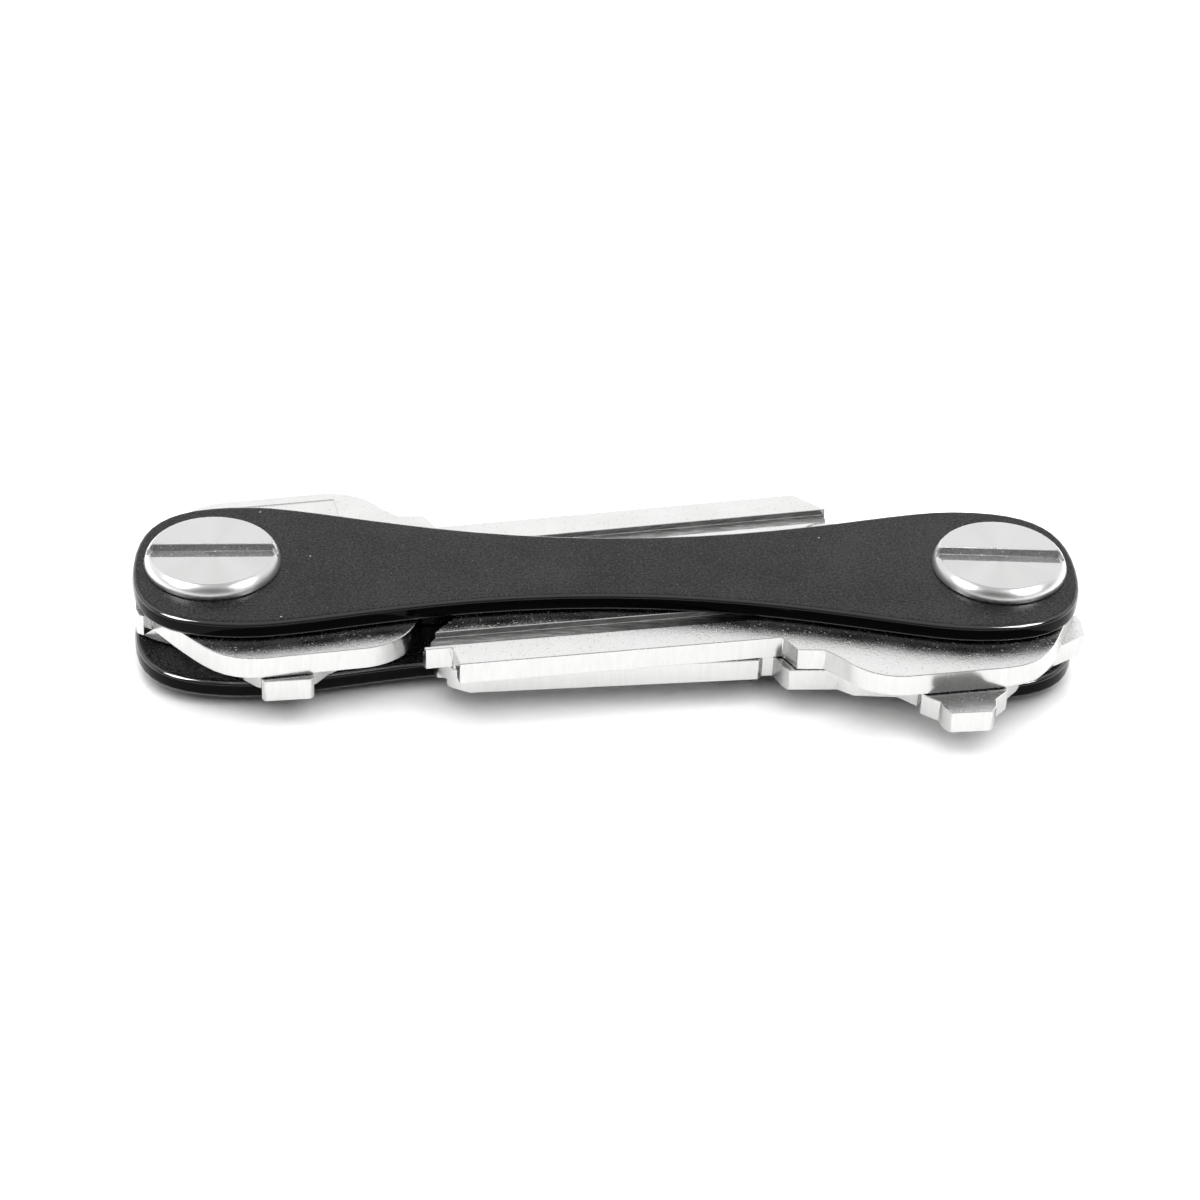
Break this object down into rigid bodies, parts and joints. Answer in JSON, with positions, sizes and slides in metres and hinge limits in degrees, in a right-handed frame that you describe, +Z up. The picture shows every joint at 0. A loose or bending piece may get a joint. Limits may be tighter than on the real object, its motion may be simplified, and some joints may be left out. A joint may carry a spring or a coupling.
{
  "type": "key organiser",
  "caption": "Slim pocket key organiser: waisted black plates clamped by slotted screws and posts at each end, with keys that swing out from between them like folding blades.",
  "frame": {"origin": "midway between the two posts, on the plane that the post heads rest on", "axes": "+X from the left post to the right post, +Y towards the back, +Z up through the plates, towards the screw heads"},
  "size_m": [0.0811, 0.0321, 0.0102],
  "materials": {
    "anodised_black": "black anodised aluminium, fine satin grain, rounded edges",
    "stainless_steel": "turned stainless steel, fine radial brushing on the flat, polished shoulder",
    "spring_steel": "thin rolled shim, dull",
    "nickel_plate": "bright nickel plating with light wear"
  },
  "bodies": {
    "frame": {"back_plate": "anodised_black", "front_plate": "anodised_black", "post_left": "stainless_steel", "post_right": "stainless_steel", "lower_washer_left": "spring_steel", "middle_washer_left": "spring_steel", "upper_washer_left": "spring_steel", "lower_washer_right": "spring_steel", "middle_washer_right": "spring_steel", "upper_washer_right": "spring_steel"},
    "left_screw": {"screw_left": "stainless_steel"},
    "right_screw": {"screw_right": "stainless_steel"},
    "upper_left_key": {"key_upper_left": "nickel_plate"},
    "lower_left_key": {"key_lower_left": "nickel_plate"},
    "upper_right_key": {"key_upper_right": "nickel_plate"},
    "lower_right_key": {"key_lower_right": "nickel_plate"}
  },
  "joints": [
    {"name": "upper_left_key_swing", "type": "hinge", "parent": "frame", "child": "upper_left_key", "pos_m": [-0.0334, 0, 0.00613], "axis": [0, 0, 1], "range_deg": [0, 240]},
    {"name": "lower_left_key_swing", "type": "hinge", "parent": "frame", "child": "lower_left_key", "pos_m": [-0.0334, 0, 0.00402], "axis": [0, 0, 1], "range_deg": [0, 240]},
    {"name": "upper_right_key_swing", "type": "hinge", "parent": "frame", "child": "upper_right_key", "pos_m": [0.0334, 0, 0.00613], "axis": [0, 0, 1], "range_deg": [0, 240]},
    {"name": "lower_right_key_swing", "type": "hinge", "parent": "frame", "child": "lower_right_key", "pos_m": [0.0334, 0, 0.00402], "axis": [0, 0, 1], "range_deg": [0, 240]},
    {"name": "left_screw_turn", "type": "hinge", "parent": "frame", "child": "left_screw", "pos_m": [-0.0334, 0, 0.0095], "axis": [0, 0, 1], "continuous": true},
    {"name": "right_screw_turn", "type": "hinge", "parent": "frame", "child": "right_screw", "pos_m": [0.0334, 0, 0.0095], "axis": [0, 0, 1], "continuous": true}
  ]
}
